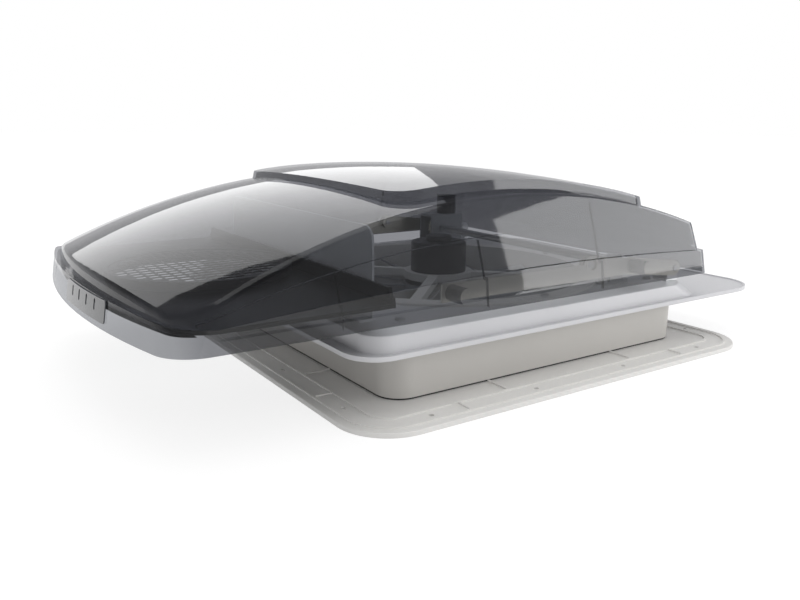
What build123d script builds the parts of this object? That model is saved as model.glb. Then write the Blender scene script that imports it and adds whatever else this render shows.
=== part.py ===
from build123d import *
import os
from math import asin, atan2, cos, degrees, hypot, pi, radians, sin, sqrt

# A caravan roof vent: a powered fan in a square neck under a long smoked lid that
# hinges at one end and is lifted by two arms on a cross shaft.
#
# Frame: millimetres, +Z up. The origin is the centre of the mounting flange on its
# underside, the plane of the caravan's roof. +X points to the hinged end of the lid,
# -X to its long overhanging front, and +Y to its left side.

os.makedirs("parts", exist_ok=True)

# Fits shared by all pieces
slip = 0.3              # gap between two moving neighbours, and of a loose seat
running_gap = 0.05      # radial gap of a shaft in its bush
press_gap = 0.02        # radial gap of a shaft in a hub that turns with it
cut_over = 1.0          # how far a cut runs past the face that it opens

# Small pan head screws
screw_radius = 2.0
screw_head_radius = 4.0
screw_head_height = 2.0
screw_slot_width = 1.0
screw_slot_depth = 0.9
screw_bite = 12.0

# Mounting flange
flange_side = 465.0
flange_thickness = 4.0
flange_corner = 45.0
flange_edge_round = 1.2
ridge_width = 2.4
ridge_height = 1.3
outer_ridge_inset = 9.0
inner_ridge_inset = 27.0
inner_tick_spread = 78.0
outer_tick_spread = 132.0
tick_width = 2.2
roof_hole_radius = 2.25
roof_hole_near = 55.0
roof_hole_far = 165.0
collar_height = 24.0
collar_wall = 2.5
collar_ledge = 9.0
frame_screw_along = 62.0
ledge_thickness = 2.5
opening_corner = 19.0

# Square neck and its gasket
neck_side = 358.0
neck_wall = 3.0
neck_height = 42.0
gasket_thickness = 1.5
gasket_inset = 0.6
neck_screw_grip = 2.2
neck_boss_radius = 6.0
neck_boss_depth = 18.0
neck_boss_reach = 21.0

# Rain tray, the thin plate that the photo shows past the hinged end
tray_thickness = 3.0
tray_front = 218.0
tray_rear = 293.0
tray_half_width = 200.0
tray_front_corner = 30.0
tray_rear_corner = 40.0
tray_lip_width = 2.0
tray_lip_height = 1.2

# Fan deck, the shallow box on the tray
deck_height = 14.0
deck_wall = 2.5
deck_front = 205.0
deck_rear = 200.0
deck_half_width = 192.0
deck_front_corner = 22.0
deck_rear_corner = 26.0
deck_side_lean = 1.5
deck_rear_lean = 16.5
deck_corner_growth = 10.0

# Fan shroud, fan and motor
duct_radius = 154.5
duct_wall = 2.5
duct_flange_width = 13.0
duct_flange_thickness = 2.5
duct_depth = 44.0
strut_count = 4
strut_width = 10.0
strut_height = 8.0
spider_plate_radius = 37.0
blade_count = 10
blade_tip_gap = 4.5
blade_root_chord = 36.0
blade_tip_chord = 58.0
blade_thickness = 2.4
blade_root_angle = 40
blade_tip_angle = 24
hub_radius = 38.0
hub_height = 26.0
hub_wall = 2.5
hub_boss_radius = 9.0
fan_drop = 5.0
motor_radius = 30.0
motor_height = 32.0
motor_round = 3.0
motor_cap_radius = 14.0
motor_cap_height = 6.0
motor_shaft_radius = 4.0
motor_shaft_grip = 18.0
nut_flats = 14.0
nut_height = 6.0

# Ceiling side: frame, insect screen, turn knobs and control strip
ceiling_clear = 9.0
frame_thickness = 3.0
screen_radius = 134.0
screen_rim = 8.0
screen_rim_thickness = 3.0
screen_lip = 5.0
screen_lip_thickness = 1.5
net_thickness = 1.0
net_pitch = 14.0
net_wire = 1.6
vent_pitch = 10.0
turn_knob_radius = 9.0
turn_knob_height = 4.0
turn_knob_reach = 35.0
turn_tongue_width = 11.0
turn_tongue_thickness = 2.4
turn_knob_circle = 165.0
turn_post_radius = 3.0
panel_length = 104.0
panel_width = 19.0
panel_thickness = 2.0
panel_edge = 1.5
button_count = 5
button_pitch = 16.0
button_side = 10.4
button_height = 3.6
button_collar = 1.0
button_collar_thickness = 1.2
button_travel = 1.0
button_round = 0.8
switch_side = 6.0
switch_height = 0.7
board_thickness = 1.6
board_margin = 4.0
lens_radius = 3.0
lens_height = 1.6

# Lid: plan, skirt, dome and raised roof panel
lid_gap = 10.0
lid_wall = 2.5
lid_length = 577.0
lid_rear = 198.0
lid_front_bow = 25.4
lid_half_end = 198.3
lid_side_bow = 2.0
skirt_front_height = 24.5
skirt_shoulder_height = 19.5
skirt_dip_height = 16.8
skirt_middle_height = 28.9
skirt_rear_height = 22.8
skirt_dip_x = -322.0
skirt_front_lean = 4.5
skirt_rear_lean = 4.0
skirt_side_lean = 3.5
skirt_front_corner = 30.6
skirt_rear_corner = 10.0
dome_front_in = 6.0
dome_rear_in = 5.0
dome_side_in = 1.5
dome_front_lean = 20.0
dome_rear_lean = 8.0
dome_side_lean = 31.0
dome_front_corner = 38.0
dome_rear_corner = 12.0
dome_height = 95.0
roof_apex_x = -50.8
roof_edge_rise = 84.7
roof_crown = 15.2
roof_front_radius = 790.0
roof_front_edge_radius = 695.7
roof_rear_radius = 803.4
roof_rear_edge_radius = 753.0
roof_round = 6.0
roof_section_shares = (-1, -0.5, 0, 0.5, 1)
hump_rise = 5.2
hump_crown = 10.0
hump_front = 157.0
hump_rear = 153.0
hump_half_width = 154.0
hump_front_bow = 10.0
hump_corner = 26.0
hump_foot_rise = 40.0
hump_foot_spread = 6.0
hump_top_lean = 9.0
side_panel_proud = 0.8
side_panel_top_rise = 87.0
side_panel_front_radius = 637.0
side_panel_front = 335.0
side_panel_rear = 180.0
rib_width = 2.0
rib_depth = 3.0
rib_merge = 0.4
rib_arc_front = 334.0
rib_arc_rear = 192.0
rib_arc_front_rise = 18.0
rib_arc_middle_rise = 56.4
rib_arc_rear_rise = 25.0
rib_places = (-230.0, -95.0, 42.0)
tall_rib_rise = 78.0
front_plate_thickness = 0.8
front_plate_half_width = 49.5
front_plate_offset = 50.0
front_plate_height = 17.0
front_plate_rise = 5.0
front_slot_rise = 16.0
front_slot_width = 3.0
front_slot_height = 8.5
front_slot_pitch = 19.0
front_slot_count = 4

# Vent frame and mesh under the lid's overhanging front
vent_thickness = 3.0
vent_rise = 12.0
vent_rear = 184.0
vent_lip_height = 12.0
vent_ring_radius = 78.0
vent_ring_wall = 3.0
vent_ring_height = 8.0
vent_ring_x = -266.0

# Rain wall across the deck in front of the duct
rain_wall_x = -176.0
rain_wall_half_width = 146.0
rain_wall_height = 77.0
rain_wall_thickness = 2.0
rain_wall_foot = 12.0
rain_wall_corner = 12.0
rain_wall_screw_shares = (-0.8, 0, 0.8)

# Lid hinge
hinge_x = 172.0
hinge_rise = 13.5
hinge_pin_radius = 3.0
hinge_eye_radius = 8.0
bracket_thickness = 3.0
bracket_foot = 14.0
bracket_foot_thickness = 2.5
bracket_foot_length = 18.0
pin_head_radius = 4.5
pin_head_height = 1.2
lid_open_angle = 16

# Side rails on the lid, and the lift arms that run in their slots
rail_offset = 174.0
rail_thickness = 2.0
rail_height = 15.0
rail_front = 128.0
rail_screw_places = (-118.0, 105.0)
rail_screw_rise = 12.5
rail_screw_head_height = 1.6
rail_screw_length = 8.0
rail_boss_radius = 7.0
shaft_x = 108.0
shaft_rise = 21.5
shaft_radius = 4.0
arm_thickness = 3.0
arm_gap = 2.0
arm_eye_radius = 9.0
arm_tip_radius = 7.5
arm_half_width = 5.5
roller_radius = 4.7
roller_pin_radius = 2.0
roller_cap_radius = 3.0
roller_cap_height = 0.7

# Worm drive of the lid, in the deck's rear left corner
worm_module = 1.25
wheel_teeth = 18
wheel_width = 4.0
wheel_hub_radius = 6.5
wheel_hub_width = 5.0
worm_pitch_radius = 5.0
worm_rod_radius = 3.0
worm_length = 21.0
tooth_thinning = 0.6
drive_y = 150.0
gearbox_wall = 3.0
gearbox_half_width = 14.0
gearbox_front = 17.0
gearbox_height = 39.0
lid_motor_radius = 12.5
lid_motor_height = 24.0
lid_motor_round = 2.0
lid_motor_grip = 10.0
hand_knob_radius = 12.0
hand_knob_height = 7.4
hand_knob_flutes = 8
hand_knob_flute_radius = 2.2
bearing_length = 10.0
bearing_foot_length = 36.0
bearing_foot_thickness = 3.0
bearing_eye_radius = 9.0

# Levels, all stacked from the roof plane
gasket_bottom = flange_thickness
neck_bottom = gasket_bottom + gasket_thickness
tray_bottom = neck_bottom + neck_height
tray_top = tray_bottom + tray_thickness
deck_top = tray_top + deck_height
duct_top = deck_top + duct_flange_thickness
lid_bottom = deck_top + lid_gap
roof_edge_z = lid_bottom + roof_edge_rise
frame_bottom = ceiling_clear
frame_top = frame_bottom + frame_thickness
hinge_z = deck_top + hinge_rise
shaft_z = deck_top + shaft_rise
spider_top = deck_top
spider_bottom = spider_top - strut_height
hub_top = spider_bottom - fan_drop
hub_bottom = hub_top - hub_height
fan_middle = (hub_top + hub_bottom) / 2

# Plan sizes that follow from the driving ones
neck_inside = neck_side / 2 - neck_wall
neck_corner = opening_corner + neck_wall
collar_outside = neck_inside - slip
collar_inside = collar_outside - collar_wall
roof_hole_line = flange_side / 2 - (outer_ridge_inset + inner_ridge_inset) / 2
deck_screw_place = neck_inside - neck_boss_reach
lid_front = lid_rear - lid_length
lid_half_middle = lid_half_end + lid_side_bow
lid_middle_x = (lid_rear + lid_front + lid_front_bow) / 2
duct_outside = duct_radius + duct_wall
duct_hole = duct_outside + slip
arm_outer = rail_offset - arm_gap
arm_inner = arm_outer - arm_thickness
neck_screw_z = (frame_top + ledge_thickness + collar_height) / 2
neck_screw_length = collar_wall + slip + neck_screw_grip
shroud_screw_circle = duct_outside + duct_flange_width / 2
motor_screw_circle = (motor_radius + motor_shaft_radius) / 2
frame_half = collar_inside - slip
frame_screw_place = collar_inside - collar_ledge / 2
panel_y = -(frame_half - panel_edge - panel_width / 2)
button_row = (button_count - 1) * button_pitch
button_window = button_side + 2 * button_collar + 2 * slip
button_collar_bottom = frame_bottom + slip
switch_bottom = button_collar_bottom + button_collar_thickness + button_travel + slip
board_bottom = switch_bottom + switch_height
board_length = button_row + button_window + 2 * board_margin
board_width = button_window + 2 * board_margin
vent_bottom = lid_bottom + vent_rise
vent_top = vent_bottom + vent_thickness
rail_middle_z = lid_bottom + rail_screw_rise
rail_outer = rail_offset + rail_thickness
bracket_outer = rail_offset - slip
bracket_inner = bracket_outer - bracket_thickness
wheel_radius = worm_module * wheel_teeth / 2
worm_x = shaft_x + wheel_radius + worm_pitch_radius
worm_pitch = pi * worm_module
gearbox_length = worm_x - shaft_x + 2 * gearbox_front
gearbox_middle = (worm_x + shaft_x) / 2

# The slot in each rail points at the hinge, and an arm is as long as the shaft is far
# from the hinge, so an arm turns through exactly twice the angle of the lid.
arm_length = hypot(hinge_x - shaft_x, shaft_z - hinge_z)
slot_angle = degrees(atan2(shaft_z - hinge_z, hinge_x - shaft_x))
roller_x = hinge_x - 2 * (hinge_x - shaft_x)
roller_z = hinge_z + 2 * (shaft_z - hinge_z)
slot_travel = 2 * arm_length * (1 - cos(radians(lid_open_angle)))


# Where the gearbox, the shaft bearing, the hinge brackets and the rain wall are screwed down
gearbox_screw_places = [
    (shaft_x - gearbox_front + screw_head_radius + slip, drive_y),
    (worm_x + gearbox_front - screw_head_radius - slip, drive_y),
]
bearing_screw_places = [
    (shaft_x + side * (bearing_foot_length / 2 - screw_head_radius - slip), -drive_y) for side in (-1, 1)
]
bracket_screw_places = [
    (hinge_x, side * (bracket_inner - bracket_foot / 2)) for side in (-1, 1)
]
rain_wall_screw_places = [
    (rain_wall_x - rain_wall_foot / 2, share * rain_wall_half_width) for share in rain_wall_screw_shares
]
deck_fitting_screw_places = (
    gearbox_screw_places + bearing_screw_places + bracket_screw_places + rain_wall_screw_places
)


def square_plan(level, half_side, corner):
    """A square with rounded corners, centred on the origin."""
    with BuildSketch(Plane.XY.offset(level)) as plan:
        RectangleRounded(2 * half_side, 2 * half_side, corner)
    return plan.sketch


def square_ring(level, outer_half, inner_half, outer_corner):
    """A square frame of even width."""
    with BuildSketch(Plane.XY.offset(level)) as plan:
        RectangleRounded(2 * outer_half, 2 * outer_half, outer_corner)
        inner_corner = max(outer_corner - (outer_half - inner_half), cut_over)
        RectangleRounded(2 * inner_half, 2 * inner_half, inner_corner, mode=Mode.SUBTRACT)
    return plan.sketch


def lopsided_plan(level, front, rear, half_width, front_corner, rear_corner):
    """A rectangle from -front to +rear with its own corner radius at each end."""
    with BuildSketch(Plane.XY.offset(level)) as plan:
        with Locations(((rear - front) / 2, 0)):
            Rectangle(front + rear, 2 * half_width)
        fillet(plan.vertices().group_by(Axis.X)[0], front_corner)
        fillet(plan.vertices().group_by(Axis.X)[-1], rear_corner)
    return plan.sketch


def disc(level, radius, centre=(0, 0)):
    """A circle at a level."""
    with BuildSketch(Plane.XY.offset(level)) as plan:
        with Locations(centre):
            Circle(radius)
    return plan.sketch


def ring(level, outer, inner, centre=(0, 0)):
    """A flat ring at a level."""
    with BuildSketch(Plane.XY.offset(level)) as plan:
        with Locations(centre):
            Circle(outer)
            Circle(inner, mode=Mode.SUBTRACT)
    return plan.sketch


def bar(level, length, width, centre=(0, 0), turn=0):
    """A rectangle at a level."""
    with BuildSketch(Plane.XY.offset(level)) as plan:
        with Locations(Location((*centre, 0), (0, 0, turn))):
            Rectangle(length, width)
    return plan.sketch


def side_disc(y, radius, centre):
    """A circle that faces along Y, centred on (x, z)."""
    with BuildSketch(Plane.XZ.offset(-y)) as profile:
        with Locations(centre):
            Circle(radius)
    return profile.sketch


def screw(length, head_height=screw_head_height, head_radius=screw_head_radius):
    """A pan head screw on the origin, its head above XY and its shank below."""
    with BuildPart() as piece:
        extrude(disc(0, head_radius), amount=head_height)
        fillet(piece.edges().group_by(Axis.Z)[-1], head_height / 3)
        extrude(disc(0, screw_radius), amount=-length)
        chamfer(piece.edges().group_by(Axis.Z)[0], screw_radius / 3)
        slot = bar(head_height - screw_slot_depth, 2 * head_radius, screw_slot_width)
        extrude(slot, amount=screw_slot_depth + cut_over, mode=Mode.SUBTRACT)
    return piece.part


def net_plan(level, radius, pitch, centre=(0, 0)):
    """A round net: a disc with square gaps inside a plain rim."""
    reach = int(radius / pitch)
    steps = range(-reach, reach + 1)
    gap_half = (pitch - net_wire) / 2
    with BuildSketch(Plane.XY.offset(level)) as plan:
        with Locations(centre):
            Circle(radius)
        gaps = [
            (centre[0] + i * pitch, centre[1] + j * pitch)
            for i in steps
            for j in steps
            if hypot(abs(i * pitch) + gap_half, abs(j * pitch) + gap_half) < radius - net_wire
        ]
        with Locations(*gaps):
            Rectangle(2 * gap_half, 2 * gap_half, mode=Mode.SUBTRACT)
    return plan.sketch


# Mounting flange: a plate with two raised ridges, short ribs between them, a collar
# that stands up inside the neck, and a ledge in it that the ceiling frame hangs from.
with BuildPart() as mounting_flange:
    extrude(square_plan(0, flange_side / 2, flange_corner), amount=flange_thickness)
    fillet(mounting_flange.edges().group_by(Axis.Z)[-1], flange_edge_round)
    for ridge_inset in (outer_ridge_inset, inner_ridge_inset):
        ridge_outside = flange_side / 2 - ridge_inset + ridge_width / 2
        ridge_corner = flange_corner - ridge_inset + ridge_width / 2
        ridge = square_ring(
            flange_thickness, ridge_outside, ridge_outside - ridge_width, ridge_corner
        )
        extrude(ridge, amount=ridge_height)
    with BuildSketch(Plane.XY.offset(flange_thickness)) as ticks:
        tick_rows = (
            (inner_tick_spread, flange_side / 2 - inner_ridge_inset, neck_side / 2),
            (outer_tick_spread, flange_side / 2 - outer_ridge_inset, flange_side / 2 - inner_ridge_inset),
        )
        for spread, outer_end, inner_end in tick_rows:
            middle = (outer_end + inner_end) / 2
            with Locations((middle, spread), (middle, -spread), (-middle, spread), (-middle, -spread)):
                Rectangle(outer_end - inner_end, tick_width)
            with Locations((spread, middle), (-spread, middle), (spread, -middle), (-spread, -middle)):
                Rectangle(tick_width, outer_end - inner_end)
    extrude(amount=ridge_height)
    extrude(square_plan(0, collar_outside, opening_corner - slip), amount=collar_height)
    extrude(
        square_plan(0, collar_inside, opening_corner - slip - collar_wall),
        amount=frame_top,
        mode=Mode.SUBTRACT,
    )
    extrude(
        square_plan(frame_top, collar_inside - collar_ledge, opening_corner - collar_ledge),
        amount=collar_height,
        mode=Mode.SUBTRACT,
    )
    extrude(
        square_plan(frame_top + ledge_thickness, collar_inside, opening_corner - slip - collar_wall),
        amount=collar_height,
        mode=Mode.SUBTRACT,
    )
    with BuildSketch(Plane.XY.offset(frame_top)):
        with Locations((0, -collar_inside)):
            Rectangle(board_length + 2 * slip, 2 * collar_ledge + 2 * cut_over)
        RectangleRounded(2 * collar_inside, 2 * collar_inside, cut_over, mode=Mode.INTERSECT)
        with GridLocations(2 * frame_screw_place, 2 * frame_screw_along, 2, 2):
            Circle(screw_radius + running_gap)
    extrude(amount=ledge_thickness, mode=Mode.SUBTRACT)
    with BuildSketch() as roof_holes:
        for along in (roof_hole_near, roof_hole_far):
            with GridLocations(2 * along, 2 * roof_hole_line, 2, 2):
                Circle(roof_hole_radius)
            with GridLocations(2 * roof_hole_line, 2 * along, 2, 2):
                Circle(roof_hole_radius)
    extrude(amount=flange_thickness, mode=Mode.SUBTRACT)
    neck_screw_places = [
        Plane(origin=(0, 0, neck_screw_z), z_dir=direction)
        for direction in ((1, 0, 0), (-1, 0, 0), (0, 1, 0), (0, -1, 0))
    ]
    for place in neck_screw_places:
        with BuildSketch(place):
            Circle(screw_radius + running_gap)
        extrude(amount=collar_outside + cut_over, mode=Mode.SUBTRACT)

# Foam gasket between the neck and the flange.
with BuildPart() as neck_gasket:
    extrude(
        square_ring(gasket_bottom, neck_side / 2 - gasket_inset, neck_inside, neck_corner - gasket_inset),
        amount=gasket_thickness,
    )

# Square neck with a boss in each corner for the deck screws.
with BuildPart() as neck:
    extrude(square_plan(neck_bottom, neck_side / 2, neck_corner), amount=neck_height)
    extrude(square_plan(neck_bottom, neck_inside, opening_corner), amount=neck_height, mode=Mode.SUBTRACT)
    with BuildSketch(Plane.XY.offset(tray_bottom)):
        with GridLocations(2 * deck_screw_place, 2 * deck_screw_place, 2, 2):
            Circle(neck_boss_radius)
        with GridLocations(neck_inside + deck_screw_place, 2 * deck_screw_place, 2, 2):
            Rectangle(neck_boss_reach, neck_wall)
    extrude(amount=-neck_boss_depth)
    with BuildSketch(Plane.XY.offset(tray_bottom)):
        with GridLocations(2 * deck_screw_place, 2 * deck_screw_place, 2, 2):
            Circle(screw_radius + running_gap)
    extrude(amount=-neck_boss_depth, mode=Mode.SUBTRACT)
    for place in neck_screw_places:
        with BuildSketch(place.offset(neck_side / 2 - neck_wall - cut_over)):
            Circle(screw_radius + running_gap)
        extrude(amount=cut_over + neck_screw_grip + slip, mode=Mode.SUBTRACT)

# The four screws that hold the neck to the collar, driven from inside.
neck_screw = screw(neck_screw_length)
with BuildPart() as neck_screws:
    for place in neck_screw_places:
        seat = place.offset(collar_inside)
        with Locations(Plane(origin=seat.origin, x_dir=seat.x_dir, z_dir=-seat.z_dir)):
            add(neck_screw)

# Rain tray with a lip all round.
with BuildPart() as rain_tray:
    tray_sizes = (tray_front, tray_rear, tray_half_width, tray_front_corner, tray_rear_corner)
    inner_tray = [size - tray_lip_width for size in tray_sizes]
    extrude(lopsided_plan(tray_bottom, *tray_sizes), amount=tray_thickness + tray_lip_height)
    extrude(lopsided_plan(tray_top, *inner_tray), amount=tray_lip_height, mode=Mode.SUBTRACT)
    fillet(rain_tray.edges().group_by(Axis.Z)[0], tray_thickness / 3)
    extrude(disc(tray_bottom, duct_hole), amount=tray_thickness, mode=Mode.SUBTRACT)
    with BuildSketch(Plane.XY.offset(tray_bottom)):
        with GridLocations(2 * deck_screw_place, 2 * deck_screw_place, 2, 2):
            Circle(screw_radius + running_gap)
        with Locations((worm_x, drive_y)):
            Circle(worm_rod_radius + slip)
    extrude(amount=tray_thickness, mode=Mode.SUBTRACT)

# Fan deck: a shallow box, open below, with a round hole for the shroud.
with BuildPart() as fan_deck:
    deck_foot = (deck_front, deck_rear, deck_half_width, deck_front_corner, deck_rear_corner)
    deck_crown = (
        deck_front - deck_side_lean,
        deck_rear - deck_rear_lean,
        deck_half_width - deck_side_lean,
        deck_front_corner,
        deck_rear_corner + deck_corner_growth,
    )
    loft([lopsided_plan(tray_top, *deck_foot), lopsided_plan(deck_top, *deck_crown)], ruled=True)
    fillet(fan_deck.edges().group_by(Axis.Z)[-1], deck_wall / 2)
    loft(
        [
            lopsided_plan(tray_top, *[size - deck_wall for size in deck_foot]),
            lopsided_plan(deck_top - deck_wall, *[size - deck_wall for size in deck_crown]),
        ],
        ruled=True,
        mode=Mode.SUBTRACT,
    )
    with BuildSketch(Plane.XY.offset(tray_top)):
        with GridLocations(2 * deck_screw_place, 2 * deck_screw_place, 2, 2):
            Circle(neck_boss_radius)
        with PolarLocations(shroud_screw_circle, strut_count):
            Circle(neck_boss_radius)
    extrude(amount=deck_height - deck_wall / 2)
    extrude(disc(tray_top, duct_hole), amount=deck_height, mode=Mode.SUBTRACT)
    with BuildSketch(Plane.XY.offset(tray_top)):
        with GridLocations(2 * deck_screw_place, 2 * deck_screw_place, 2, 2):
            Circle(screw_radius + running_gap)
        with PolarLocations(shroud_screw_circle, strut_count):
            Circle(screw_radius + running_gap)
        with Locations(*deck_fitting_screw_places):
            Circle(screw_radius + running_gap)
        with Locations((worm_x, drive_y)):
            Circle(worm_rod_radius + slip)
    extrude(amount=deck_height, mode=Mode.SUBTRACT)

deck_screw = screw(deck_height + tray_thickness + screw_bite)
with BuildPart() as deck_screws:
    with Locations(Plane.XY.offset(deck_top)):
        with GridLocations(2 * deck_screw_place, 2 * deck_screw_place, 2, 2):
            add(deck_screw)

# Fan shroud: the duct's ring with a flange on the deck and a spider that holds the motor.
with BuildPart() as fan_shroud:
    extrude(disc(deck_top, duct_outside), amount=-duct_depth)
    extrude(disc(deck_top, duct_radius + duct_flange_width + duct_wall), amount=duct_flange_thickness)
    fillet(fan_shroud.edges().group_by(Axis.Z)[-1], duct_flange_thickness / 3)
    extrude(disc(duct_top, duct_radius), amount=-duct_depth - duct_flange_thickness, mode=Mode.SUBTRACT)
    extrude(disc(spider_bottom, spider_plate_radius), amount=strut_height)
    with BuildSketch(Plane.XY.offset(spider_bottom)):
        with PolarLocations(duct_radius / 2 + duct_wall / 4, strut_count, 45):
            Rectangle(duct_radius, strut_width)
    extrude(amount=strut_height)
    extrude(disc(spider_bottom, motor_shaft_radius + slip), amount=strut_height, mode=Mode.SUBTRACT)
    with BuildSketch(Plane.XY.offset(spider_bottom)):
        with PolarLocations(motor_screw_circle, strut_count):
            Circle(screw_radius + running_gap)
    extrude(amount=strut_height, mode=Mode.SUBTRACT)
    with BuildSketch(Plane.XY.offset(deck_top)):
        with PolarLocations(shroud_screw_circle, strut_count):
            Circle(screw_radius + running_gap)
        with Locations((gearbox_middle, drive_y)):
            Rectangle(gearbox_length + 2 * slip, 2 * (gearbox_half_width + slip))
    extrude(amount=duct_flange_thickness, mode=Mode.SUBTRACT)

shroud_screw = screw(screw_bite)
with BuildPart() as shroud_screws:
    with Locations(Plane.XY.offset(duct_top)):
        with PolarLocations(shroud_screw_circle, strut_count):
            add(shroud_screw)

# Fan motor: a closed can with a bore for its shaft and an end cap.
with BuildPart() as fan_motor:
    extrude(disc(spider_top, motor_radius), amount=motor_height)
    fillet(fan_motor.edges().group_by(Axis.Z)[-1], motor_round)
    extrude(disc(spider_top + motor_height, motor_cap_radius), amount=motor_cap_height)
    fillet(fan_motor.edges().group_by(Axis.Z)[-1], motor_round / 2)
    extrude(
        disc(spider_top, motor_shaft_radius + running_gap),
        amount=motor_shaft_grip + slip,
        mode=Mode.SUBTRACT,
    )
    with BuildSketch(Plane.XY.offset(spider_top)):
        with PolarLocations(motor_screw_circle, strut_count):
            Circle(screw_radius + running_gap)
    extrude(amount=screw_bite, mode=Mode.SUBTRACT)

motor_screw = screw(strut_height + screw_bite - slip)
with BuildPart() as motor_screws:
    with Locations(Plane(origin=(0, 0, spider_bottom), z_dir=(0, 0, -1))):
        with PolarLocations(motor_screw_circle, strut_count):
            add(motor_screw)

# Fan rotor: a cup shaped hub with twisted blades.
with BuildPart() as blade:
    blade_sections = []
    blade_rows = (
        (hub_radius - hub_wall / 2, blade_root_chord, blade_root_angle),
        (duct_radius - blade_tip_gap, blade_tip_chord, blade_tip_angle),
    )
    for corner_radius, chord, angle in blade_rows:
        reach = sqrt(corner_radius**2 - (chord * cos(radians(angle)) / 2) ** 2)
        across = (0, cos(radians(angle)), sin(radians(angle)))
        with BuildSketch(Plane(origin=(reach, 0, fan_middle), x_dir=across, z_dir=(1, 0, 0))) as section:
            SlotOverall(chord, blade_thickness)
        blade_sections.append(section.sketch)
    loft(blade_sections, ruled=True)

with BuildPart() as fan_rotor:
    extrude(disc(hub_bottom, hub_radius), amount=hub_height)
    fillet(fan_rotor.edges().group_by(Axis.Z)[0], hub_wall)
    with PolarLocations(0, blade_count):
        add(blade.part)
    extrude(disc(hub_bottom + hub_wall, hub_radius - hub_wall), amount=hub_height, mode=Mode.SUBTRACT)
    extrude(disc(hub_bottom, hub_boss_radius), amount=hub_height - hub_wall)
    extrude(disc(hub_bottom, motor_shaft_radius + press_gap), amount=hub_height, mode=Mode.SUBTRACT)

with BuildPart() as rotor_shaft:
    extrude(disc(hub_bottom - nut_height, motor_shaft_radius), amount=spider_top - hub_bottom + nut_height)
    extrude(disc(spider_top, motor_shaft_radius), amount=motor_shaft_grip)
    chamfer(rotor_shaft.edges().group_by(Axis.Z)[0], motor_shaft_radius / 4)

with BuildPart() as hub_nut:
    with BuildSketch(Plane.XY.offset(hub_bottom)):
        RegularPolygon(nut_flats / 2, 6, major_radius=False)
        Circle(motor_shaft_radius + press_gap, mode=Mode.SUBTRACT)
    extrude(amount=-nut_height)

# Ceiling frame: a square plate with a round opening, hung on the collar's ledge.
with BuildPart() as ceiling_frame:
    extrude(
        square_plan(frame_bottom, frame_half, opening_corner - collar_wall - 2 * slip),
        amount=frame_thickness,
    )
    extrude(disc(frame_top, screen_radius + screen_rim), amount=screen_lip_thickness)
    extrude(disc(frame_bottom, screen_radius + slip), amount=frame_thickness, mode=Mode.SUBTRACT)
    extrude(disc(frame_top, screen_radius - screen_lip), amount=screen_lip_thickness, mode=Mode.SUBTRACT)
    with BuildSketch(Plane.XY.offset(frame_bottom)):
        with Locations((0, panel_y)):
            Rectangle(button_row + button_window, button_window)
        with PolarLocations(turn_knob_circle, 4, 45):
            Circle(turn_post_radius + running_gap)
        with GridLocations(2 * frame_screw_place, 2 * frame_screw_along, 2, 2):
            Circle(screw_radius + running_gap)
        with Locations((worm_x, drive_y)):
            Circle(worm_rod_radius + slip)
    extrude(amount=frame_thickness, mode=Mode.SUBTRACT)

frame_screw = screw(frame_thickness + ledge_thickness + cut_over)
with BuildPart() as frame_screws:
    with Locations(Plane(origin=(0, 0, frame_bottom), z_dir=(0, 0, -1))):
        with GridLocations(2 * frame_screw_place, 2 * frame_screw_along, 2, 2):
            add(frame_screw)

# Removable insect screen: a rim with a net in it.
with BuildPart() as screen_rim_ring:
    extrude(ring(frame_bottom, screen_radius, screen_radius - screen_rim), amount=screen_rim_thickness)
    fillet(screen_rim_ring.edges().group_by(Axis.Z)[0], screen_rim_thickness / 4)

with BuildPart() as insect_net:
    net_level = frame_bottom + (screen_rim_thickness - net_thickness) / 2
    extrude(net_plan(net_level, screen_radius - screen_rim - running_gap, net_pitch), amount=net_thickness)

# Quarter turn knobs whose tongues hold the screen up.
turn_knobs = []
for corner in range(4):
    angle = 45 + 90 * corner
    post = (turn_knob_circle * cos(radians(angle)), turn_knob_circle * sin(radians(angle)))
    knob_top = frame_bottom - slip
    with BuildPart() as turn_knob:
        extrude(disc(knob_top, turn_knob_radius, post), amount=-turn_knob_height)
        chamfer(turn_knob.edges().group_by(Axis.Z)[0], turn_knob_height / 6)
        grip = bar(knob_top - turn_knob_height, 1.5 * turn_knob_radius, turn_post_radius, post, angle)
        extrude(grip, amount=-turn_tongue_thickness)
        middle = [coordinate * (1 - turn_knob_reach / turn_knob_circle / 2) for coordinate in post]
        extrude(
            bar(knob_top, turn_knob_reach, turn_tongue_width, middle, angle), amount=-turn_tongue_thickness
        )
        extrude(disc(knob_top, turn_post_radius, post), amount=frame_thickness + 2 * slip)
        extrude(
            disc(frame_top + slip, turn_tongue_width / 2, post), amount=screen_lip_thickness
        )
    turn_knobs.append(turn_knob)

# Control strip: bezel, five buttons, receiver lens and circuit board.
button_places = [(panel_x, panel_y) for panel_x in [
    (index - (button_count - 1) / 2) * button_pitch for index in range(button_count)
]]
lens_place = (panel_length / 2 - 2 * lens_radius, panel_y)
with BuildPart() as control_bezel:
    with BuildSketch(Plane.XY.offset(frame_bottom)):
        with Locations((0, panel_y)):
            RectangleRounded(panel_length, panel_width, panel_width / 4)
        with Locations(*button_places):
            Rectangle(button_side + 2 * slip, button_side + 2 * slip, mode=Mode.SUBTRACT)
        with Locations(lens_place):
            Circle(lens_radius + running_gap, mode=Mode.SUBTRACT)
    extrude(amount=-panel_thickness)

with BuildPart() as receiver_lens:
    extrude(disc(frame_bottom, lens_radius, lens_place), amount=-panel_thickness - lens_height)
    fillet(receiver_lens.edges().group_by(Axis.Z)[0], lens_height / 2)

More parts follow.
